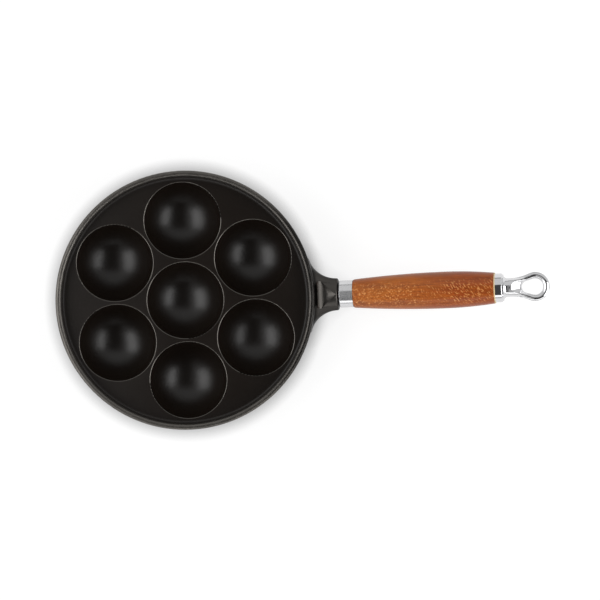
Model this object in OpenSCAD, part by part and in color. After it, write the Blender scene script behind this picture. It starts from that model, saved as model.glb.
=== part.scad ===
/* [Wells] */
// Diameter of a well at the deck, before its edge is rounded
well_d = 61.8; // [50:0.1:70]
// Depth of a well below the deck
well_depth = 28; // [22:0.5:29]
// Number of wells in the ring around the centre one
well_count = 6; // [5:1:7]
// Narrowest land left between two neighbouring wells
well_gap = 3; // [2.5:0.1:6]
// Rounding of the edge where a well meets the deck
well_edge_r = 1; // [0.5:0.1:1.2]
// Thickness of the casting under the middle of a well
floor_t = 4; // [3:0.1:6]
// Radius of the flat pad ground under each well
pad_r = 7; // [5:0.1:9]

/* [Tray] */
// Depth from the top of the rim down to the deck
tray_depth = 10; // [8:0.5:16]
// Thickness of the deck between the wells
deck_t = 4; // [3:0.1:6]
// Land between the outer wells and the side wall
outer_land = 3.9; // [3:0.1:12]
// Rounding of the corner between deck and side wall
tray_fillet_r = 1.5; // [1:0.1:3]
// How far the inside of the rim leans outwards above the deck
wall_lean = 0.8; // [0.2:0.1:2]
// Width of the rounded rim
rim_w = 4.6; // [4:0.1:6]
// How far the foot of the skirt lies inside the edge of the rim
foot_inset = 6; // [3:0.5:9]
// Thickness of the skirt
skirt_t = 4; // [3:0.1:5]

/* [Handle boss] */
// Upward slope of the whole handle in degrees
handle_tilt = 7; // [3:0.5:12]
// Reach of the boss beyond the rim
boss_reach = 19.7; // [16:0.1:26]
// Radius of the boss at its outer end
boss_r = 13.1; // [12.6:0.1:13.2]
// Drop from the top of the rim to the handle's axis at the boss's end
boss_drop = 18; // [16:0.1:20]
// Depth of the flat cheek under the boss, below the handle's axis
cheek_h = 13.5; // [13.4:0.1:14]
// Where the side flares of the boss start, back from its end
flare_back = 1; // [0.5:0.1:1.5]
// Distance from the boss's end to the tip of the scoop in its top
scoop_tip_back = 2.4; // [2:0.1:5]
// Slope of the scoop's floor up to its tip, in degrees
scoop_slope = 24.5; // [18:0.5:30]
// Half angle of the scoop's outline at its tip, seen from above
scoop_spread = 52; // [44:0.5:62]
// Radius of the hollow where the scoop turns up to the rim
scoop_r = 8; // [6:0.1:8.4]
// Drop from the middle of the rim's bead to the highest part of the boss
boss_step = 0.7; // [0.3:0.1:1.5]
// Rounding of the boss's outer edge
boss_edge_r = 1.5; // [0.5:0.1:2]
// Depth of the threaded socket in the boss
socket_depth = 14; // [10:0.5:16]

/* [Ferrule] */
// Outer diameter of the ferrule
ferrule_d = 22; // [20:0.1:23]
// Length of the ferrule, seat included
ferrule_len = 12; // [8:0.1:16]
// Wall of the ferrule's sleeve
ferrule_wall = 1.1; // [0.8:0.1:2]
// Thickness of the ferrule's front plate
plate_t = 1.5; // [1:0.1:3]
// Depth of the narrow seat that leaves a shadow line at the boss
seat_len = 1.1; // [0.4:0.1:1.5]
// How far the seat is set in from the ferrule's outside
seat_inset = 1.8; // [0.8:0.1:3]
// Rounding of the ferrule's front edge
ferrule_round = 0.5; // [0.3:0.1:0.8]

/* [Wooden grip] */
// Length of the grip between ferrule and loop
grip_len = 116; // [90:1:140]
// Diameter where the grip meets the ferrule
grip_front_d = 23; // [22.5:0.1:25]
// Diameter at the swell of the grip
grip_swell_d = 29.9; // [28:0.1:34]
// Diameter where the grip meets the hanging loop
grip_rear_d = 24.9; // [24:0.1:27]
// Distance of the swell from the front of the grip
swell_at = 75; // [50:1:85]
// Rounding of the grip's front edge
grip_front_round = 1.3; // [0.5:0.1:2.5]
// Rounding of the grip's rear edge
grip_rear_round = 0.7; // [0.3:0.1:1.5]

/* [Tie rod] */
// Diameter of the rod that draws the handle together
rod_d = 6; // [5:0.1:8]
// Thread engagement of the rod inside the hanging loop
loop_socket = 9; // [6:0.5:10]

/* [Hanging loop] */
// Diameter of the collar that seats on the grip
collar_d = 23.4; // [22:0.1:24]
// Length of the collar
collar_len = 5.8; // [4:0.1:9]
// Rounding of the collar's outer edge
collar_round = 1; // [0.5:0.1:1.5]
// Step down from the collar to the shoulder
shoulder_step = 1; // [0.8:0.1:2]
// Straight land of the shoulder before it sweeps to the neck
shoulder_len = 0.8; // [0.5:0.1:2]
// Diameter of the round neck
neck_d = 15.2; // [14:0.1:17]
// Length of the neck before it starts to widen into the eye
neck_len = 2.9; // [2:0.1:6]
// Distance over which the neck widens into the eye
eye_run = 19.4; // [17:0.1:24]
// Outer diameter of the eye
eye_d = 23.8; // [23:0.1:28]
// Thickness of the eye
eye_t = 7; // [6:0.1:9]
// Width of the eye's round ring, seen from above
ring_w = 5.2; // [4.4:0.1:5.6]
// Slope of the hollows that thin the neck towards the eye, in degrees
hollow_slope = 24.2; // [20:0.2:27]
// Length of the hanging hole along the handle
hole_len = 17.1; // [16:0.1:17.6]
// Width of the hole's narrow end
hole_tip_w = 9.4; // [8:0.1:11]

/* [Clearances] */
// Radial clearance of the rod in its two threaded sockets
thread_gap = 0.1; // [0.05:0.05:0.2]
// Radial clearance of the rod in the ferrule and the grip
rod_gap = 0.3; // [0.2:0.05:0.5]
// Clearance of the grip's spigot in the ferrule
spigot_gap = 0.1; // [0.05:0.05:0.3]

/* [Hidden] */
$fn = 96;
long_arc_fn = 256; // steps of the long, shallow arcs of the grip
over = 1; // how far a cutter runs past the face that it opens
bite = 0.03; // two rounded faces cross by this much instead of only touching

// Wells and tray, heights above the worktop
well_r = well_d / 2;
bowl_r = (well_r * well_r + well_depth * well_depth) / (2 * well_depth);
bowl_z = floor_t + bowl_r;
shell_r = sqrt(pad_r * pad_r + bowl_z * bowl_z);
deck_z = floor_t + well_depth;
pan_h = deck_z + tray_depth;
ring_r = (well_d + well_gap) / (2 * sin(180 / well_count));
deck_r = ring_r + well_r + outer_land;
bead_r = rim_w / 2;
bead_z = pan_h - bead_r;
rim_r = deck_r + wall_lean + rim_w;
foot_r = rim_r - foot_inset;
wall_slope = foot_inset / bead_z;

// Handle axis, measured from the end of the boss
boss_x = rim_r + boss_reach;
boss_z = pan_h - boss_drop;
flare_x = boss_x - flare_back;
flare_r = run_out_r(flare_x, boss_r, rim_r);
root_angle = atan2(boss_r + flare_r, flare_x);
root_r = rim_r * sin(root_angle);
root_u = (rim_r * cos(root_angle) - boss_x) / cos(handle_tilt);
boss_len = boss_reach + rim_w + foot_inset + skirt_t;
boss_top_z = bead_z - boss_step;

// Scoop in the top of the boss: a cone that opens from its tip towards the rim
scoop_tip_r = boss_r + flare_r - sqrt(pow(flare_r, 2) - pow(scoop_tip_back - flare_back, 2));
scoop_tip_x = boss_x - scoop_tip_back;
scoop_tip_z = boss_z - scoop_tip_back * tan(handle_tilt) + scoop_tip_r / cos(handle_tilt) + bite;
scoop_rise = atan2(cos(scoop_slope) - cos(scoop_spread), sin(scoop_slope));
scoop_land = bead_r / 6; // land left between the rim and the scoop
scoop_x = rim_r + scoop_r + scoop_land;
scoop_turn_x = scoop_x + scoop_r * sin(scoop_slope);
scoop_turn_z = scoop_tip_z - (scoop_tip_x - scoop_turn_x) * tan(scoop_slope);

// Pieces along the handle
ferrule_r = ferrule_d / 2;
rod_r = rod_d / 2;
spigot_r = ferrule_r - ferrule_wall - spigot_gap;
spigot_u = seat_len + plate_t + spigot_gap;
grip_u = ferrule_len;
loop_u = grip_u + grip_len;
rod_start = thread_gap - socket_depth;
rod_end = loop_u + loop_socket - thread_gap;

// Hanging loop, measured from its seat on the grip
collar_r = collar_d / 2;
neck_r = neck_d / 2;
eye_r = eye_d / 2;
shoulder_r = collar_r - shoulder_step;
sweep_r = shoulder_r - neck_r;
sweep_u = collar_len + shoulder_len + sweep_r;
widen_u = sweep_u + neck_len;
eye_u = widen_u + eye_run;
rail_inset = 5 * bite; // the rails start this far inside the neck's outside
rail_y = neck_r - rail_inset;
eye_flare_r = run_out_r(eye_run, rail_y, eye_r);
eye_angle = atan2(rail_y + eye_flare_r, eye_run);
ring_in_r = eye_r - ring_w;
ring_ease = 10 * bite; // neck and hole keep this far from the inside of the ring
neck_end_u = eye_u - ring_in_r - ring_ease;
neck_end_h = neck_r - (neck_end_u - widen_u) * tan(hollow_slope);
hole_big_r = ring_in_r - ring_ease;
hole_tip_r = hole_tip_w / 2;
hole_reach = hole_len - ring_in_r - hole_tip_r;

// Radius of a flare that leaves a neck of half width neck and runs out tangent
// to a circle of radius round, when the flare starts reach away from its centre
function run_out_r(reach, neck, round) =
    (reach * reach + neck * neck - round * round) / (2 * (round - neck));

// Places children on the handle's axis, u beyond the end of the boss
module on_handle(u = 0) {
    translate([boss_x, 0, boss_z])
        rotate([0, -handle_tilt, 0])
            translate([u, 0, 0])
                children();
}

// Revolves a profile of radius and length around the handle's axis
module turned() {
    rotate([0, 90, 0])
        rotate_extrude()
            children();
}

// What is cut from a square corner at [r, u] to round it; side is where the end face looks
module corner_cut(r, u, round, side) {
    translate([r - round, side > 0 ? u - round : u])
        difference() {
            translate([0, side > 0 ? 0 : -over])
                square([round + over, round + over]);
            translate([0, side > 0 ? 0 : round])
                circle(round);
        }
}

// Egg outline with its large end at the origin and its small end towards -Y
module egg(big, small, reach) {
    turn = asin((big - small) / reach);
    circle(big);
    translate([0, -reach])
        circle(small);
    polygon([
        [big * cos(turn), -big * sin(turn)],
        [small * cos(turn), -reach - small * sin(turn)],
        [-small * cos(turn), -reach - small * sin(turn)],
        [-big * cos(turn), -big * sin(turn)]
    ]);
}

module at_wells() {
    children();
    for (i = [0 : well_count - 1])
        rotate([0, 0, (i + 0.5) * 360 / well_count])
            translate([ring_r, 0, 0])
                children();
}

// Space inside one well, with its edge rounded over onto the deck
module well_space() {
    edge_z = deck_z - well_edge_r;
    reach = bowl_r + well_edge_r;
    edge_x = sqrt(reach * reach - (bowl_z - edge_z) * (bowl_z - edge_z));
    meet_z = bowl_z - (bowl_z - edge_z) * bowl_r / reach;
    rotate_extrude() {
        intersection() {
            translate([0, bowl_z])
                circle(bowl_r);
            square([bowl_r + over, meet_z]);
        }
        difference() {
            translate([0, meet_z])
                square([edge_x, deck_z + over - meet_z]);
            translate([edge_x, edge_z + bite])
                circle(well_edge_r);
        }
    }
}

// Outside of one well, cut flat where it stands
module well_shell() {
    intersection() {
        translate([0, 0, bowl_z])
            sphere(shell_r);
        cylinder(r = shell_r + over, h = deck_z - deck_t / 2);
    }
}

// Deck, side wall, rim and skirt
module tray() {
    rotate_extrude() {
        polygon([
            [foot_r - skirt_t, 0],
            [foot_r, 0],
            [rim_r, bead_z],
            [rim_r - rim_w, bead_z],
            [deck_r, deck_z],
            [0, deck_z],
            [0, deck_z - deck_t],
            [foot_r - skirt_t + wall_slope * (deck_z - deck_t), deck_z - deck_t]
        ]);
        translate([rim_r - bead_r, bead_z])
            circle(bead_r);
        difference() {
            translate([deck_r - tray_fillet_r, deck_z - deck_t / 2])
                square([tray_fillet_r + wall_lean / 2, deck_t / 2 + tray_fillet_r]);
            translate([deck_r - tray_fillet_r, deck_z + tray_fillet_r - bite])
                circle(tray_fillet_r);
        }
    }
}

// Round boss whose sides flare out to run tangent into the rim
module boss_flare() {
    turned()
        difference() {
            union() {
                translate([0, -boss_len])
                    square([boss_r, boss_len]);
                translate([0, -boss_len])
                    square([root_r, boss_len + root_u]);
                difference() {
                    translate([0, root_u - over])
                        square([root_r, over - root_u - flare_back]);
                    translate([boss_r + flare_r - bite, -flare_back])
                        circle(flare_r);
                }
            }
            corner_cut(boss_r, 0, boss_edge_r, 1);
        }
}

// Scoop between the rim and the round end of the boss
module boss_scoop() {
    reach = 2 * boss_reach;
    intersection() {
        translate([scoop_tip_x, 0, scoop_tip_z])
            rotate([0, scoop_rise - 90, 0])
                cylinder(r1 = 0, r2 = reach * tan(scoop_rise + scoop_slope), h = reach);
        union() {
            translate([scoop_x, 0, scoop_turn_z + scoop_r * cos(scoop_slope)])
                rotate([90, 0, 0])
                    cylinder(r = scoop_r, h = 4 * boss_r, center = true);
            translate([scoop_turn_x, -2 * boss_r, boss_z])
                cube([boss_reach, 4 * boss_r, boss_reach + boss_r]);
        }
    }
}

module boss() {
    difference() {
        intersection() {
            on_handle()
                boss_flare();
            on_handle(-boss_len - over)
                translate([0, -root_r - over, -cheek_h])
                    cube([boss_len + 2 * over, 2 * (root_r + over), cheek_h + pan_h]);
            translate([0, -root_r - over, 0])
                cube([boss_x + over, 2 * (root_r + over), boss_top_z]);
        }
        cylinder(r1 = foot_r - skirt_t / 2, r2 = rim_r - bead_r, h = bead_z);
        boss_scoop();
        on_handle(-socket_depth)
            turned()
                square([rod_r + thread_gap, socket_depth + over]);
    }
}

module pan_casting() {
    color([0.13, 0.12, 0.12])
        difference() {
            union() {
                tray();
                boss();
                at_wells()
                    well_shell();
            }
            at_wells()
                well_space();
        }
}

// Steel sleeve that caps the front of the grip
module handle_ferrule() {
    color([0.8, 0.8, 0.82])
        on_handle()
            turned()
                difference() {
                    union() {
                        square([ferrule_r - seat_inset, seat_len + plate_t]);
                        difference() {
                            translate([0, seat_len])
                                square([ferrule_r, ferrule_len - seat_len]);
                            corner_cut(ferrule_r, seat_len, ferrule_round, -1);
                        }
                    }
                    translate([0, seat_len + plate_t])
                        square([ferrule_r - ferrule_wall, ferrule_len]);
                    translate([0, -over])
                        square([rod_r + rod_gap, ferrule_len]);
                }
}

// Half outline of the grip: two arcs that meet at the swell
module grip_outline() {
    swell_r = grip_swell_d / 2;
    front_rise = swell_r - grip_front_d / 2;
    rear_rise = swell_r - grip_rear_d / 2;
    rear_at = grip_len - swell_at;
    front_arc = (swell_at * swell_at + front_rise * front_rise) / (2 * front_rise);
    rear_arc = (rear_at * rear_at + rear_rise * rear_rise) / (2 * rear_rise);
    intersection() {
        square([swell_r, swell_at]);
        translate([swell_r - front_arc, swell_at])
            circle(front_arc, $fn = long_arc_fn);
    }
    intersection() {
        translate([0, swell_at])
            square([swell_r, rear_at]);
        translate([swell_r - rear_arc, swell_at])
            circle(rear_arc, $fn = long_arc_fn);
    }
}

module wooden_grip() {
    color([0.66, 0.36, 0.18])
        on_handle(grip_u)
            turned()
                difference() {
                    union() {
                        difference() {
                            grip_outline();
                            corner_cut(grip_front_d / 2, 0, grip_front_round, -1);
                            corner_cut(grip_rear_d / 2, grip_len, grip_rear_round, 1);
                        }
                        translate([0, spigot_u - grip_u])
                            square([spigot_r, grip_u - spigot_u + over]);
                    }
                    translate([0, spigot_u - grip_u - over])
                        square([rod_r + rod_gap, grip_len + grip_u + 2 * over]);
                }
}

// Threaded rod from the socket in the boss to the socket in the loop
module tie_rod() {
    color([0.6, 0.6, 0.62])
        on_handle(rod_start)
            turned()
                square([rod_r, rod_end - rod_start]);
}

// Collar, shoulder and round neck
module loop_stem() {
    turned()
        difference() {
            union() {
                square([collar_r, collar_len]);
                square([shoulder_r, collar_len + shoulder_len]);
                difference() {
                    square([shoulder_r, sweep_u]);
                    translate([shoulder_r, sweep_u])
                        circle(sweep_r + bite);
                }
                square([neck_r, neck_end_u]);
            }
            corner_cut(collar_r, collar_len, collar_round, 1);
        }
}

// Side view of the stem: full round at the neck, hollowed towards the eye
module stem_side() {
    rotate([90, 0, 0])
        linear_extrude(height = 4 * collar_r, center = true)
            polygon([
                [-over, collar_r + over],
                [widen_u, collar_r + over],
                [widen_u, neck_r],
                [neck_end_u + over, neck_end_h - over * tan(hollow_slope)],
                [neck_end_u + over, over * tan(hollow_slope) - neck_end_h],
                [widen_u, -neck_r],
                [widen_u, -collar_r - over],
                [-over, -collar_r - over]
            ]);
}

// Section of the ring and of its rails, round above and below
module ring_section(width, height) {
    for (side = [-1, 1])
        translate([0, side * (height - width) / 2])
            circle(width / 2);
    square([width, height - width], center = true);
}

// Rail that leads from the neck into one side of the ring
module eye_rail() {
    translate([widen_u, rail_y + eye_flare_r, 0])
        rotate([0, 0, -90])
            rotate_extrude(angle = 90 - eye_angle)
                translate([eye_flare_r + ring_w / 2, 0])
                    ring_section(ring_w - 2 * bite, eye_t - 2 * bite);
}

module hanging_loop() {
    color([0.85, 0.85, 0.87])
        on_handle(loop_u)
            difference() {
                union() {
                    intersection() {
                        loop_stem();
                        stem_side();
                    }
                    translate([eye_u, 0, 0])
                        rotate_extrude()
                            translate([eye_r - ring_w / 2, 0])
                                ring_section(ring_w, eye_t);
                    eye_rail();
                    mirror([0, 1, 0])
                        eye_rail();
                }
                translate([eye_u, 0, -eye_t])
                    rotate([0, 0, -90])
                        linear_extrude(height = 2 * eye_t)
                            egg(hole_big_r, hole_tip_r, hole_reach);
                translate([-over, 0, 0])
                    turned()
                        square([rod_r + thread_gap, loop_socket + over]);
            }
}

pan_casting();
handle_ferrule();
wooden_grip();
tie_rod();
hanging_loop();
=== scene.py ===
from math import acos, atan2, cos, pi, radians, sin, sqrt

import bmesh
import bpy
from mathutils import Matrix, Vector


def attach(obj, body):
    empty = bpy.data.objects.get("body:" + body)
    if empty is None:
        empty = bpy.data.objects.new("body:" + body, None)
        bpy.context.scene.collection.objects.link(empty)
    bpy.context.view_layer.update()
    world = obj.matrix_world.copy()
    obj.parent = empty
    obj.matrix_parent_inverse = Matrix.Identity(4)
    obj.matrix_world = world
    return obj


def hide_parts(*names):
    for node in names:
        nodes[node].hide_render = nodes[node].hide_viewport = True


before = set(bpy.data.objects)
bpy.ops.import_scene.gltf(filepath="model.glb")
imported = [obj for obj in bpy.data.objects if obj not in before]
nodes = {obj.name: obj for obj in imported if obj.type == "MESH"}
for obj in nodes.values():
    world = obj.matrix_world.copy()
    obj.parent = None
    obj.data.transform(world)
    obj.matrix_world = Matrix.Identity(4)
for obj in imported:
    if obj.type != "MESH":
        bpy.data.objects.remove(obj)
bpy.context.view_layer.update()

bpy.context.scene.view_settings.view_transform = "Standard"


# small helpers for the node trees
def newMaterial(name):
    mat = bpy.data.materials.new(name)
    mat.use_nodes = True
    tree = mat.node_tree
    return mat, tree, tree.nodes["Principled BSDF"]


def feed(tree, node, name, value):
    # links a socket, and sets anything else as the input's own value
    if isinstance(value, bpy.types.NodeSocket):
        tree.links.new(value, node.inputs[name])
    else:
        node.inputs[name].default_value = value


def addNode(tree, kind, inputs=None, **settings):
    node = tree.nodes.new(kind)
    for key, value in settings.items():
        setattr(node, key, value)
    for key, value in (inputs or {}).items():
        feed(tree, node, key, value)
    return node


def mathNode(tree, operation, a, b=0.0):
    return addNode(tree, "ShaderNodeMath", {0: a, 1: b}, operation=operation).outputs[0]


def product(tree, first, *others):
    for other in others:
        first = mathNode(tree, "MULTIPLY", first, other)
    return first


def total(tree, first, *others):
    for other in others:
        first = mathNode(tree, "ADD", first, other)
    return first


def opposite(tree, value):
    return mathNode(tree, "SUBTRACT", 1.0, value)


def minus(tree, value):
    return mathNode(tree, "MULTIPLY", value, -1.0)


def split(tree, vector):
    return addNode(tree, "ShaderNodeSeparateXYZ", {0: vector}).outputs


def distance(tree, a, b):
    flat = addNode(tree, "ShaderNodeCombineXYZ", {0: a, 1: b}).outputs[0]
    return addNode(tree, "ShaderNodeVectorMath", {0: flat}, operation="LENGTH").outputs["Value"]


def fade(tree, value, low, high):
    # 0 at low and 1 at high, which may be the smaller one
    limits = {"Value": value, "From Min": low, "From Max": high}
    node = addNode(tree, "ShaderNodeMapRange", limits, interpolation_type="SMOOTHSTEP")
    return node.outputs["Result"]


def band(tree, value, low, high, soft):
    # 1 between low and high, with soft ends
    return product(tree, fade(tree, value, low - soft, low), fade(tree, value, high + soft, high))


def between(tree, mask, low, high):
    return total(tree, low, product(tree, mask, high - low))


def noise(tree, place, scale, detail=3.0, rough=0.6):
    stretched = addNode(tree, "ShaderNodeMapping", {"Vector": place, "Scale": scale}).outputs[0]
    settings = {"Vector": stretched, "Scale": 1.0, "Detail": detail, "Roughness": rough}
    return addNode(tree, "ShaderNodeTexNoise", settings).outputs[0]


def mixColour(tree, factor, a, b, blend="MIX"):
    node = addNode(tree, "ShaderNodeMix", {0: factor}, data_type="RGBA", blend_type=blend)
    for name, colour in ((6, a), (7, b)):
        if isinstance(colour, tuple):
            colour = (*colour[:3], 1)
        feed(tree, node, name, colour)
    return node.outputs[2]


def shade(colour, level):
    return tuple(level * part for part in colour)


def shades(tree, mask, colour, dark, pale):
    return mixColour(tree, mask, shade(colour, dark), shade(colour, pale))


def grey(level):
    return (level, level, level)


def addBump(tree, shader, height, depth, strength):
    settings = {"Height": height, "Distance": depth, "Strength": strength}
    feed(tree, shader, "Normal", addNode(tree, "ShaderNodeBump", settings).outputs[0])


def objectPlace(tree):
    return addNode(tree, "ShaderNodeTexCoord").outputs["Object"]


# camera: straight above the pan, turned a little
shot = {
    "mmPerPixel": 0.8093,      # at the height of the rim
    "pixels": 600,             # width of the picture
    "turn": 2.25,              # degrees that the pan lies turned anticlockwise
    "panPixel": (185, 300.2),  # where the pan's centre falls in the picture
    "height": 3.2,
    "rimHeight": 0.042,
    "sensor": 36,
}


def makeCamera():
    step = shot["mmPerPixel"] / 1000
    turn = -radians(shot["turn"])
    middle = shot["pixels"] / 2
    across = (middle - shot["panPixel"][0]) * step
    up = (shot["panPixel"][1] - middle) * step
    data = bpy.data.cameras.new("topCamera")
    data.sensor_width = shot["sensor"]
    toRim = shot["height"] - shot["rimHeight"]
    data.lens = shot["sensor"] * toRim / (shot["pixels"] * step)
    camera = bpy.data.objects.new("topCamera", data)
    camera.rotation_euler = (0, 0, turn)
    x = across * cos(turn) - up * sin(turn)
    y = across * sin(turn) + up * cos(turn)
    camera.location = (x, y, shot["height"])
    bpy.context.scene.collection.objects.link(camera)
    bpy.context.scene.camera = camera
    print("camera placed")


makeCamera()


# studio: pale table, a tall softbox on either side, paler parts of the room on all sides
studio = {
    "table": grey(0.30),
    "tableSize": 12,
    "tableRoughness": 0.9,
    "tableLift": 0.80,         # what the camera sees on top of the table's own shade
    "mirrorLift": 0.66,        # and what metal shows of it
    "contactReach": 0.018,     # how far the close shadow round the pan reaches
    "contactEnd": (0.118, 0.100),      # it fades out between these along the handle
    "contactLeft": 0.25,       # and this much is left of it
    "contactSamples": 16,
    "boxCentre": 0.09,         # the place on X that both softboxes face
    "boxDistance": 1.3,
    "leftBox": (-50, 3, 0.80, 1.20, 2.4),    # lean, turn to the near side, width, height, radiance
    "rightBox": (55, 12, 0.80, 1.20, 3.0),
    "overhead": 0.06,
    "leftHaze": (0.19, 0.24, 0.46),    # starts and is full this far to the left, and its level
    "sideWall": (0.42, 0.30, 0.38),    # starts and is full at these heights, and its level
    "farPanel": (0.40, 0.54, 0.68),    # starts and is full at these slopes, and its level
    "nearPanel": (1.50, 2.10, 1.60),
    "panelFoot": (6.5, 5.0),   # both panels end at these slopes, a little above the table
    "horizon": 0.02,
}


def makeTable():
    bpy.ops.mesh.primitive_plane_add(size=studio["tableSize"])
    table = bpy.context.object
    table.name = "studioTable"
    mat, tree, shader = newMaterial("tableWhite")
    feed(tree, shader, "Base Color", (*studio["table"], 1))
    feed(tree, shader, "Roughness", studio["tableRoughness"])
    feed(tree, shader, "Specular IOR Level", 0.0)
    # close shadow round the pan
    occlusion = addNode(
        tree, "ShaderNodeAmbientOcclusion", {"Distance": studio["contactReach"]},
        samples=studio["contactSamples"])
    openness = occlusion.outputs["AO"]
    x = split(tree, objectPlace(tree))[0]
    close = between(tree, fade(tree, x, *studio["contactEnd"]), studio["contactLeft"], 1.0)
    shadow = product(tree, opposite(tree, product(tree, openness, openness)), close)
    # a glow for the camera and for what is mirrored, but not for the light on the pan
    path = addNode(tree, "ShaderNodeLightPath").outputs
    mirrored = mathNode(tree, "MAXIMUM", path["Is Glossy Ray"], path["Is Transmission Ray"])
    lift = total(
        tree, product(tree, path["Is Camera Ray"], studio["tableLift"]),
        product(tree, mirrored, studio["mirrorLift"]))
    strength = product(tree, opposite(tree, shadow), lift)
    glow = addNode(tree, "ShaderNodeEmission", {"Color": (1, 1, 1, 1), "Strength": strength})
    both = addNode(tree, "ShaderNodeAddShader", {0: shader.outputs[0], 1: glow.outputs[0]})
    feed(tree, tree.nodes["Material Output"], "Surface", both.outputs[0])
    table.data.materials.append(mat)


def makeSoftbox(name):
    lean, turn, width, height, radiance = studio[name]
    lean, turn = radians(lean), radians(turn)
    data = bpy.data.lights.new(name, "AREA")
    data.shape = "RECTANGLE"
    data.size = width
    data.size_y = height
    data.energy = radiance * pi * width * height
    box = bpy.data.objects.new(name, data)
    away = Vector((sin(lean) * cos(turn), -sin(turn), cos(lean) * cos(turn)))
    box.location = Vector((studio["boxCentre"], 0, 0)) + studio["boxDistance"] * away
    box.rotation_euler = (turn, lean, 0)
    bpy.context.scene.collection.objects.link(box)


def makeRoom():
    world = bpy.data.worlds.new("room")
    world.use_nodes = True
    bpy.context.scene.world = world
    tree = world.node_tree
    x, y, z = split(tree, addNode(tree, "ShaderNodeTexCoord").outputs["Generated"])
    slope = mathNode(tree, "DIVIDE", y, mathNode(tree, "MAXIMUM", z, studio["horizon"]))
    aboveFoot = fade(tree, mathNode(tree, "ABSOLUTE", slope), *studio["panelFoot"])
    level = studio["overhead"]
    for name, value, part in (
        ("leftHaze", minus(tree, x), 1.0),
        ("sideWall", z, 1.0),
        ("farPanel", slope, aboveFoot),
        ("nearPanel", minus(tree, slope), aboveFoot),
    ):
        start, full, glow = studio[name]
        panel = product(tree, fade(tree, value, start, full), glow, part)
        level = mathNode(tree, "MAXIMUM", level, panel)
    background = tree.nodes["Background"]
    feed(tree, background, "Color", (1, 1, 1, 1))
    feed(tree, background, "Strength", level)


makeTable()
makeSoftbox("leftBox")
makeSoftbox("rightBox")
makeRoom()
print("studio lit")


# the handle's own axis, for shapes and patterns that run along it
handleAxis = {"start": (0.1247, 0, 0.024), "tilt": 7.0}   # the boss's end, and the rise in degrees


def handlePlace(tree):
    # object coordinates turned so that X runs along the handle from the boss's end
    turned = {
        "Vector": objectPlace(tree),
        "Location": handleAxis["start"],
        "Rotation": (0, -radians(handleAxis["tilt"]), 0),
    }
    return addNode(tree, "ShaderNodeMapping", turned, vector_type="TEXTURE").outputs[0]


def dressNode(name, mat):
    for slot in nodes[name].material_slots:
        slot.material = mat
    print(name, "dressed")


# pan: satin black enamel, rubbed to a sheen on the edges, glossier on the boss
# places are radii from the middle, heights, or lengths along X, in metres
enamel = {
    "colour": (0.0070, 0.0042, 0.0025),
    "cloudShades": (0.8, 1.25),
    "cloudScale": (28, 28, 28),
    "cloudRoughness": 0.08,
    "specular": 1.0,           # with the tint it makes 4 percent head on
    "specularTint": (0.5, 0.5, 0.5, 1),    # keeps the glare off the steep rubbed parts
    "pebble": 0.0013,          # size of the grain in the enamel
    "pebbleDepth": 0.000070,

    "wellRoughness": 0.33,
    "deckFrom": (0.0310, 0.0318),
    "deckRoughness": (0.29, 0.39),     # on the right and on the duller left
    "deckTurnsDull": (0.03, -0.09),

    "tray": (0.0981, 0.0977),
    "lip": (0.0310, 0.03194, 0.00005), # heights of a well's rubbed edge, and a soft edge
    "lipColour": (0.125, 0.115, 0.103),
    "edgeRoughness": 0.26,

    "rim": (0.0979, 0.1050, 0.0003),   # inner and outer radius, and a soft edge
    "rimTop": (0.0362, 0.0370),        # rubbed from here up
    "rimColour": (0.165, 0.154, 0.140),
    "rimShadeByHandle": (0.15, (0.055, 0.095), (0.1010, 0.1022)),  # painted shade on the rim towards the handle: its level, and where it sets in along X and outwards
    "streak": (2600, 60, 47),          # scale across the rim, and along X and Y
    "streakRoughness": 0.65,
    "streakFrom": (0.15, 0.65),
    "streakDepth": 1.5,                # times the pebble's

    "fillet": (0.03205, 0.0336, 0.0002),
    "filletRoughness": 0.62,           # left dull where the tray meets the rim

    "boss": (0.1050, 0.1056),
    "bossColour": (0.060, 0.056, 0.052),
    "bossRoughness": 0.27,
    "bossRoot": (0.35, (0.1085, 0.1060)),  # painted shade on the boss next to the rim
    "scoop": (0.1080, 0.1222, 0.0012),
    "scoopHalf": (0.0105, 0.0085),     # half its width
    "scoopColour": (0.084, 0.078, 0.072),
    "scoopRoughness": 0.43,
    # painted shadow where the ferrule stands: its level, and where along the handle and out from
    # its axis
    "seat": (0.5, (0.0000, 0.0002), (0.0095, 0.0092)),
}


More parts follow.
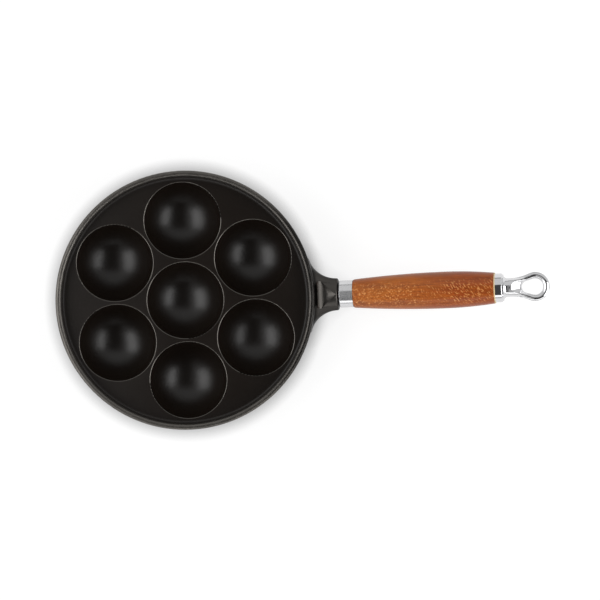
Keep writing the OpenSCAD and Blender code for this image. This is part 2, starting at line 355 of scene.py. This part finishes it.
def enamelMaterial():
    mat, tree, shader = newMaterial("satinBlackEnamel")
    place = objectPlace(tree)
    x, y, z = split(tree, place)
    reach = distance(tree, x, y)

    # where each part of the casting is
    lip = product(tree, fade(tree, reach, *enamel["tray"]), band(tree, z, *enamel["lip"]))
    nearRim = band(tree, reach, *enamel["rim"])
    fillet = product(tree, nearRim, band(tree, z, *enamel["fillet"]))
    boss = fade(tree, reach, *enamel["boss"])
    halfFrom, halfFull = enamel["scoopHalf"]
    inScoop = fade(tree, mathNode(tree, "ABSOLUTE", y), halfFrom, halfFull)
    scoop = product(tree, band(tree, x, *enamel["scoop"]), inScoop)
    # painted shadow at the boss's end in the gap round the ferrule's seat; it also takes the sheen
    # off there
    seatShadowLevel, seatAlong, seatReach = enamel["seat"]
    along, across, height = split(tree, handlePlace(tree))
    seat = product(
        tree, fade(tree, along, *seatAlong), fade(tree, distance(tree, across, height), *seatReach))

    # rubbed streaks that run along the rim
    acrossRim, byX, byY = enamel["streak"]
    ring = addNode(tree, "ShaderNodeCombineXYZ", {
        0: product(tree, reach, acrossRim),
        1: product(tree, z, acrossRim),
        2: total(tree, product(tree, x, byX), product(tree, y, byY)),
    }).outputs[0]
    streak = noise(tree, ring, (1, 1, 1), rough=enamel["streakRoughness"])
    rim = product(
        tree, nearRim, fade(tree, z, *enamel["rimTop"]), fade(tree, streak, *enamel["streakFrom"]))
    # painted shade: the rim is coloured darker towards the handle and outwards, where it would
    # mirror the dark boss
    rimShadeLevel, rimShadeAlongX, rimShadeReach = enamel["rimShadeByHandle"]
    rimShadeByHandle = product(tree, fade(tree, x, *rimShadeAlongX), fade(tree, reach, *rimShadeReach))
    rimColour = shades(tree, rimShadeByHandle, enamel["rimColour"], 1.0, rimShadeLevel)

    cloud = noise(tree, place, enamel["cloudScale"], 4.0)
    # painted shade: the boss is coloured darker where it meets the rim
    rootShade, rootReach = enamel["bossRoot"]
    bossColour = shades(tree, fade(tree, reach, *rootReach), enamel["bossColour"], 1.0, rootShade)
    colour = shades(tree, cloud, enamel["colour"], *enamel["cloudShades"])
    for mask, over in (
        (boss, bossColour),
        (scoop, enamel["scoopColour"]),
        (lip, enamel["lipColour"]),
        (rim, rimColour),
        (seat, shade(enamel["colour"], seatShadowLevel)),
    ):
        colour = mixColour(tree, mask, colour, over)
    feed(tree, shader, "Base Color", colour)

    rubbed = mathNode(tree, "MAXIMUM", lip, rim)
    sheen = product(tree, mathNode(tree, "MAXIMUM", rubbed, boss), opposite(tree, seat))
    feed(tree, shader, "Metallic", sheen)
    feed(tree, shader, "Specular IOR Level", enamel["specular"])
    feed(tree, shader, "Specular Tint", enamel["specularTint"])

    base = enamel["wellRoughness"]
    clear, dull = enamel["deckRoughness"]
    deckRoughness = between(tree, fade(tree, x, *enamel["deckTurnsDull"]), clear, dull)
    half = enamel["cloudRoughness"] / 2
    rough = between(tree, cloud, base - half, base + half)
    for mask, change in (
        (fade(tree, z, *enamel["deckFrom"]), mathNode(tree, "SUBTRACT", deckRoughness, base)),
        (boss, enamel["bossRoughness"] - base),
        (rubbed, enamel["edgeRoughness"] - base),
        (scoop, enamel["scoopRoughness"] - enamel["bossRoughness"]),
        (fillet, enamel["filletRoughness"] - base),
    ):
        rough = total(tree, rough, product(tree, mask, change))
    feed(tree, shader, "Roughness", rough)

    # pebble of the fired enamel, and the streaks
    pebble = noise(tree, place, (1 / enamel["pebble"],) * 3)
    relief = total(tree, pebble, product(tree, streak, rim, enamel["streakDepth"]))
    addBump(tree, shader, relief, enamel["pebbleDepth"], 1.0)
    return mat


dressNode("pan_casting", enamelMaterial())


# ferrule: turned steel, with painted shadow on the narrow seat at the boss
ferrule = {
    "colour": (0.76, 0.76, 0.77),
    "shades": (0.93, 1.05),
    "roughness": (0.15, 0.25),
    "smudgeScale": (160, 160, 160),
    "ringScale": (1 / 0.00030, 60, 60),
    "ringDepth": 0.00003,
    # painted shadow on the ferrule's narrow seat next to the boss: where it ends, and its colour
    "seat": (0.0011, 0.0010),
    "seatShadowColour": grey(0.03),
}


def turnedSteelMaterial():
    mat, tree, shader = newMaterial("turnedSteel")
    place = handlePlace(tree)
    smudge = noise(tree, place, ferrule["smudgeScale"])
    polished = shades(tree, smudge, ferrule["colour"], *ferrule["shades"])
    # painted shadow: the seat next to the boss is coloured near black
    seat = fade(tree, split(tree, place)[0], *ferrule["seat"])
    feed(tree, shader, "Base Color", mixColour(tree, seat, polished, ferrule["seatShadowColour"]))
    feed(tree, shader, "Metallic", 1.0)
    feed(tree, shader, "Roughness", between(tree, smudge, *ferrule["roughness"]))
    marks = noise(tree, place, ferrule["ringScale"], 2.0)
    addBump(tree, shader, marks, ferrule["ringDepth"], 1.0)
    return mat


dressNode("handle_ferrule", turnedSteelMaterial())


# grip: varnished beech with ray flecks
# scales are along, across and up the handle, and pairs are where a fade starts and is full
beech = {
    "gold": (0.47, 0.127, 0.014),
    "red": (0.29, 0.046, 0.007),
    "pale": (0.86, 0.40, 0.13),
    "dark": (0.20, 0.048, 0.010),
    "bare": (0.78, 0.62, 0.36),
    "fibre": (70, 1500, 1500),
    "fibreTone": (0.20, 0.80, 0.50),   # dark and pale level, and strength
    "fibreFrom": (0.25, 0.75),
    "vein": (16, 330, 330),
    "veinFrom": (0.50, 0.68),
    "veinStrength": 0.45,
    "patch": (34, 130, 130),
    "patchFrom": (0.30, 0.70),
    "patchRed": 0.40,
    "rearFrom": (0.047, 0.098),
    "rearRed": 0.50,

    # flecks lie aslant towards the loop, and are rounder near the ferrule
    "slantedFleck": (1 / 0.0026, 1 / 0.0010, 260),
    "slant": 45,
    "roundFleck": (640, 760, 300),
    "face": (0.0125, 0.0045),          # they show on this part of the width
    "faceWander": 0.004,
    "fleckedPatch": (0.22, 0.50),
    "paleFleck": (0.54, 0.66),
    "paleStrength": 0.65,
    "darkFleck": (0.46, 0.34),
    "darkStrength": 0.60,
    "darkDepth": 0.5,

    "wornEdge": (0.1271, 0.1276),      # the varnish has worn off the edge at the loop
    "wornWander": 0.0004,
    "wornRoughness": 0.3,
    "roughness": (0.25, 0.37),
    "specular": 0.38,
    "relief": (0.00003, 0.7),
}


def beechMaterial():
    mat, tree, shader = newMaterial("varnishedBeech")
    place = handlePlace(tree)
    along, across, _ = split(tree, place)
    toRear = fade(tree, along, *beech["rearFrom"])
    fibre = noise(tree, place, beech["fibre"], 4.0)
    vein = noise(tree, place, beech["vein"])
    patch = noise(tree, place, beech["patch"])

    slant = {"Vector": place, "Rotation": (0, 0, radians(beech["slant"]))}
    slantPlace = addNode(tree, "ShaderNodeMapping", slant).outputs[0]
    slanted = noise(tree, slantPlace, beech["slantedFleck"], 2.0, 0.5)
    rounded = noise(tree, place, beech["roundFleck"], 2.0, 0.5)
    fleck = mixColour(tree, toRear, rounded, slanted)
    wandering = total(tree, across, product(tree, patch, beech["faceWander"]))
    face = fade(tree, mathNode(tree, "ABSOLUTE", wandering), *beech["face"])
    amount = product(tree, face, fade(tree, patch, *beech["fleckedPatch"]))
    paleFleck = product(tree, amount, fade(tree, fleck, *beech["paleFleck"]))
    darkFleck = product(tree, amount, fade(tree, fleck, *beech["darkFleck"]))

    redPatch = fade(tree, patch, *beech["patchFrom"])
    redness = total(
        tree, product(tree, toRear, beech["rearRed"]), product(tree, redPatch, beech["patchRed"]))
    darkVein = product(tree, fade(tree, vein, *beech["veinFrom"]), beech["veinStrength"])
    darkTone, paleTone, toneStrength = beech["fibreTone"]
    fibreLine = addNode(tree, "ShaderNodeValToRGB", {"Fac": fibre})
    for stop, position, tone in zip(
        fibreLine.color_ramp.elements, beech["fibreFrom"], (darkTone, paleTone),
    ):
        stop.position = position
        stop.color = (*grey(tone), 1)
    colour = mixColour(tree, redness, beech["gold"], beech["red"])
    colour = mixColour(tree, darkVein, colour, beech["dark"])
    colour = mixColour(tree, toneStrength, colour, fibreLine.outputs["Color"], "OVERLAY")
    edge = total(tree, along, product(tree, fibre, beech["wornWander"]))
    worn = fade(tree, edge, *beech["wornEdge"])
    for mask, over in (
        (product(tree, darkFleck, beech["darkStrength"]), beech["dark"]),
        (product(tree, paleFleck, beech["paleStrength"]), beech["pale"]),
        (worn, beech["bare"]),
    ):
        colour = mixColour(tree, mask, colour, over)
    feed(tree, shader, "Base Color", colour)

    rough = between(tree, fibre, *beech["roughness"])
    rough = total(tree, rough, product(tree, worn, beech["wornRoughness"]))
    feed(tree, shader, "Roughness", rough)
    feed(tree, shader, "Specular IOR Level", beech["specular"])
    relief = mathNode(tree, "SUBTRACT", fibre, product(tree, darkFleck, beech["darkDepth"]))
    addBump(tree, shader, relief, *beech["relief"])
    return mat


dressNode("wooden_grip", beechMaterial())


# tie rod: zinc plated
zinc = {
    "colour": (0.50, 0.50, 0.52),
    "shades": (0.86, 1.12),
    "roughness": (0.30, 0.46),
    "spangle": 700.0,
    "hazeScale": (240, 240, 240),
    "relief": (0.00003, 0.6),
}


def zincMaterial():
    mat, tree, shader = newMaterial("zincPlate")
    place = handlePlace(tree)
    spangle = addNode(tree, "ShaderNodeTexVoronoi", {"Vector": place, "Scale": zinc["spangle"]})
    tone = addNode(tree, "ShaderNodeSeparateColor", {0: spangle.outputs["Color"]}).outputs[0]
    haze = noise(tree, place, zinc["hazeScale"])
    feed(tree, shader, "Base Color", shades(tree, tone, zinc["colour"], *zinc["shades"]))
    feed(tree, shader, "Metallic", 1.0)
    feed(tree, shader, "Roughness", between(tree, haze, *zinc["roughness"]))
    addBump(tree, shader, haze, *zinc["relief"])
    return mat


dressNode("tie_rod", zincMaterial())


# hanging loop: a chromed casting whose crest runs round the ring and round the hollow of its neck
# lengths in mm, from its seat on the grip
loop = {
    "seat": 128.0,             # along the handle from the boss's end
    "socket": (9.0, 3.1),      # depth and radius of the rod's socket
    "collar": (5.8, 11.7),     # length and radius
    "collarEdge": 1.0,
    "shoulder": (6.6, 10.7),   # where it ends, and its radius
    "neck": 7.6,
    "sweep": (268, 12),        # the sweep to the neck stops at this angle, and its steps
    "stemEnd": (0.5, 0.2),     # the stem runs on inside the neck, this far and this much lower
    "edgeSteps": 8,
    "stemTurns": 96,

    "eye": 32.0,               # centre of the ring
    "ring": 11.8,
    "flareStart": 19.4,        # the sides leave the neck this far before the eye
    "neckRun": 6.4,            # and run this far straight along it
    "crest": (9.5, 4.6, 14.5), # round end, tip, and the distance between their centres
    "hole": (6.4, 4.7, 6.0),
    "rise": (3.3, 15.8, 1.3),  # starts this far before the eye, its length, and its power
    "crestHeight": (3.5, 7.6), # at the ring and at the tip
    "holeHeight": (2.0, 2.6),
    "flank": (1.4, 1.9),       # fall from the crest to the outline, and its power
    "flankEdge": (0.35, 0.92), # rounding, and the part of the flank where it starts
    "thinnest": 0.3,
    "hollow": (1.9, 1.15, 6),  # powers of the inner side at the ring, at the tip and at the hole
    "steps": (26, 18, 12),     # round the end, along a side, round the tip
    "flankSteps": 16,
    "flankSpacing": 1.5,
    "merge": (0.001, 0.0005),  # at the mirror plane and on the stem's axis
    "sharp": 40,               # degrees between faces from which an edge stays sharp

    "colour": (0.76, 0.76, 0.77),
    "shades": (0.95, 1.04),
    "roughness": (0.04, 0.09),
    "hazeScale": (900, 900, 900),
    "waveScale": (230, 230, 230),
    "relief": (0.00005, 0.6),
}


def onCircle(radius, turn):
    return Vector((radius * cos(turn), radius * sin(turn)))


def eggSide(shape, part):
    # one side of an egg: part runs 0-1 round the big end, 1-2 along the straight, 2-3 round the tip
    big, tip, apart = shape
    lean = acos((tip - big) / apart)
    tipCentre = Vector((-apart, 0))
    if part < 1:
        return onCircle(big, lean * part)
    if part < 2:
        return onCircle(big, lean).lerp(tipCentre + onCircle(tip, lean), part - 1)
    return tipCentre + onCircle(tip, lean + (pi - lean) * (part - 2))


def outlineSide(part):
    # one side of the outline: round the ring, along the flare, and back into the neck
    back, ring, neck = loop["flareStart"], loop["ring"], loop["neck"]
    flare = (back ** 2 + neck ** 2 - ring ** 2) / (2 * (ring - neck))
    lean = atan2(neck + flare, -back)
    if part < 1:
        return onCircle(ring, lean * part)
    if part < 2:
        turn = (lean - pi / 2) * (2 - part)
        return Vector((flare * sin(turn) - back, neck + flare - flare * cos(turn)))
    run = loop["neckRun"] * min(part - 2, 0.5)
    return Vector((-back - run, neck * min(1.0, 2 * (3 - part))))


def crestAt(place):
    start, length, power = loop["rise"]
    low, high = loop["crestHeight"]
    rise = max(0.0, min(1.0, (-place.x - start) / length))
    return low + (high - low) * rise ** power, rise


def outerPoint(part, q):
    # q runs from the crest (0) to the outline (1)
    crest = eggSide(loop["crest"], part)
    place = crest.lerp(outlineSide(part), q)
    high, rise = crestAt(crest)
    fall, power = loop["flank"]
    edge, edgeStart = loop["flankEdge"]
    pastStart = max(0.0, q - edgeStart) / (1 - edgeStart)
    onRing = high - fall * q ** power - edge * (1 - sqrt(max(0.0, 1 - pastStart ** 2)))
    neck = loop["neck"] ** 2
    onNeck = high * sqrt(max(0.0, neck - place.y ** 2) / (neck - crest.y ** 2))
    return place.x, place.y, max(loop["thinnest"], onRing + (onNeck - onRing) * rise)


def innerPoint(part, q):
    # q runs from the crest (0) to the hole (1)
    crest = eggSide(loop["crest"], part)
    place = crest.lerp(eggSide(loop["hole"], part), q)
    high, rise = crestAt(crest)
    low, tipLow = loop["holeHeight"]
    edge = low + (tipLow - low) * rise
    ringPower, tipPower, edgePower = loop["hollow"]
    fall = (1 - rise) * (1 - q ** ringPower) + rise * (1 - q) ** tipPower
    return place.x, place.y, edge * sqrt(1 - q ** edgePower) + (high - edge) * fall


def sculptEye(bm):
    parts = [i + j / count for i, count in enumerate(loop["steps"]) for j in range(count)]
    trip = [(part, 1) for part in parts] + [(3, 1)] + [(part, -1) for part in reversed(parts[1:])]
    count, spacing = loop["flankSteps"], loop["flankSpacing"]
    turns = [pi / 2 * j / count for j in range(count + 1)]
    outer = [(outerPoint, cos(turn) ** spacing, 1.0) for turn in turns]
    inner = [(innerPoint, sin(turn) ** spacing, 1.0) for turn in turns[1:]]
    rows = []
    for surface, q, lift in [(outerPoint, 1.0, 0.0)] + outer + inner:
        row = bmesh.ops.create_circle(bm, segments=len(trip), radius=1)["verts"]
        for vert, (part, side) in zip(row, trip):
            px, py, pz = surface(part, q)
            vert.co = (loop["eye"] + px, side * py, pz * lift)
        # each edge once, and in the same order each run
        rows.append(list(dict.fromkeys(edge for vert in row for edge in vert.link_edges)))
    for first, second in zip(rows, rows[1:]):
        bmesh.ops.bridge_loops(bm, edges=first + second)
    upperHalf = bm.verts[:] + bm.edges[:] + bm.faces[:]
    bmesh.ops.mirror(bm, geom=upperHalf, axis="Z", merge_dist=loop["merge"][0])


def arc(x, r, radius, start, end, steps):
    turns = [radians(start + (end - start) * j / steps) for j in range(steps + 1)]
    return [(x + radius * cos(turn), r + radius * sin(turn)) for turn in turns]


def turnStem(bm):
    # side view of the collar, shoulder and sweep, turned about the handle's axis
    depth, bore = loop["socket"]
    end, collar = loop["collar"]
    land, shoulder = loop["shoulder"]
    edge, neck = loop["collarEdge"], loop["neck"]
    sweep = shoulder - neck
    sweepEnd, sweepSteps = loop["sweep"]
    run, drop = loop["stemEnd"]
    points = [(depth, 0), (depth, bore), (0, bore), (0, collar)]
    points += arc(end - edge, collar - edge, edge, 90, 0, loop["edgeSteps"])
    points += [(end, shoulder), (land, shoulder)]
    points += arc(land + sweep, shoulder, sweep, 180, sweepEnd, sweepSteps)
    points += [(land + sweep + run, neck - drop), (land + sweep + run, 0)]
    row = [bm.verts.new((along, 0, radius)) for along, radius in points]
    edges = [bm.edges.new(pair) for pair in zip(row, row[1:])]
    bmesh.ops.spin(
        bm, geom=row + edges, cent=(0, 0, 0), axis=(1, 0, 0), angle=2 * pi,
        steps=loop["stemTurns"], use_merge=True)
    bmesh.ops.remove_doubles(bm, verts=bm.verts[:], dist=loop["merge"][1])


def chromeMaterial():
    mat, tree, shader = newMaterial("chromedCasting")
    place = handlePlace(tree)
    haze = noise(tree, place, loop["hazeScale"])
    feed(tree, shader, "Base Color", shades(tree, haze, loop["colour"], *loop["shades"]))
    feed(tree, shader, "Metallic", 1.0)
    feed(tree, shader, "Roughness", between(tree, haze, *loop["roughness"]))
    addBump(tree, shader, noise(tree, place, loop["waveScale"], 2.0), *loop["relief"])
    return mat


def makeLoop():
    bm = bmesh.new()
    sculptEye(bm)
    turnStem(bm)
    start = Matrix.Translation(handleAxis["start"])
    tilt = Matrix.Rotation(-radians(handleAxis["tilt"]), 4, "Y")
    toMetres = Matrix.Scale(0.001, 4)
    seat = Matrix.Translation((loop["seat"], 0, 0))
    bmesh.ops.transform(bm, matrix=start @ tilt @ toMetres @ seat, verts=bm.verts[:])
    bmesh.ops.recalc_face_normals(bm, faces=bm.faces[:])
    for edge in bm.edges:
        edge.smooth = edge.calc_face_angle(0) < radians(loop["sharp"])
    for face in bm.faces:
        face.smooth = True
    mesh = bpy.data.meshes.new("hangingLoopSculpt")
    bm.to_mesh(mesh)
    bm.free()
    piece = bpy.data.objects.new("hangingLoopSculpt", mesh)
    bpy.context.scene.collection.objects.link(piece)
    mesh.materials.append(chromeMaterial())
    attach(piece, "root")
    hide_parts("hanging_loop")
    print("loop sculpted,", len(mesh.polygons), "faces")


makeLoop()
